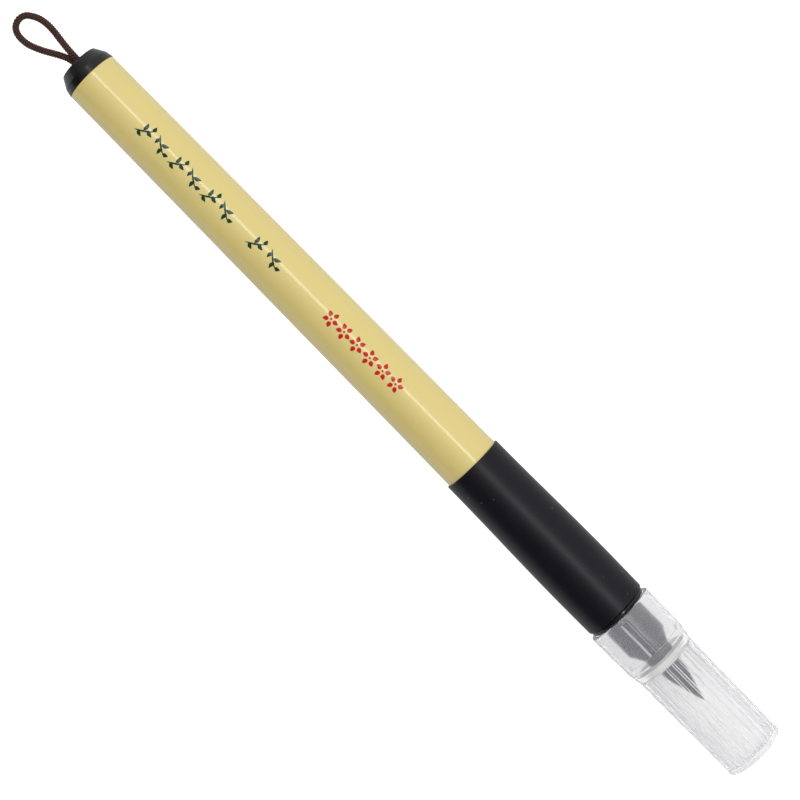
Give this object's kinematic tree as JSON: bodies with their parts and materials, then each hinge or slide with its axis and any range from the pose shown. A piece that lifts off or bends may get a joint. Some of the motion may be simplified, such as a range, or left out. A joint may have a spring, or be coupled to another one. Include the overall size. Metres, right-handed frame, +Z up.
{
  "type": "brush pen",
  "caption": "Capped brush pen with a tapered barrel, rubber grip sleeve, bristle tip under a frosted pull-off cap, and a braided hanging loop at the tail.",
  "frame": {"origin": "on the plane that the pen lies on, under the middle of its length without the hanging loop; the cap's mouth touches that plane", "axes": "+X along the pen from the tail plug to the cap's closed end, +Z up from the surface it lies on, +Y completes the frame"},
  "size_m": [0.1956, 0.014, 0.014],
  "materials": {
    "cord_braid": "braided",
    "plug_black": "satin",
    "barrel_cream": "gloss",
    "ink_wadding": "matt",
    "clear_film": "gloss",
    "feed_fibre": "matt",
    "bush_white": "satin",
    "section_black": "gloss",
    "grip_rubber": "matt",
    "bristle_heel": "satin",
    "bristles": "ink-stained",
    "cap_frosted": "frosted"
  },
  "bodies": {
    "pen": {"cord_loop": "cord_braid", "cord_knot": "cord_braid", "end_plug": "plug_black", "barrel": "barrel_cream", "reservoir_core": "ink_wadding", "reservoir_film": "clear_film", "feed_rod": "feed_fibre", "feed_bush": "bush_white", "front_section": "section_black", "grip_sleeve": "grip_rubber", "brush_heel": "bristle_heel", "brush_tuft": "bristles"},
    "cap": {"cap": "cap_frosted"}
  },
  "joints": [
    {"name": "cap_pull", "type": "slide", "parent": "pen", "child": "cap", "axis": [1, 0, 0], "range_m": [0, 0.05]}
  ]
}
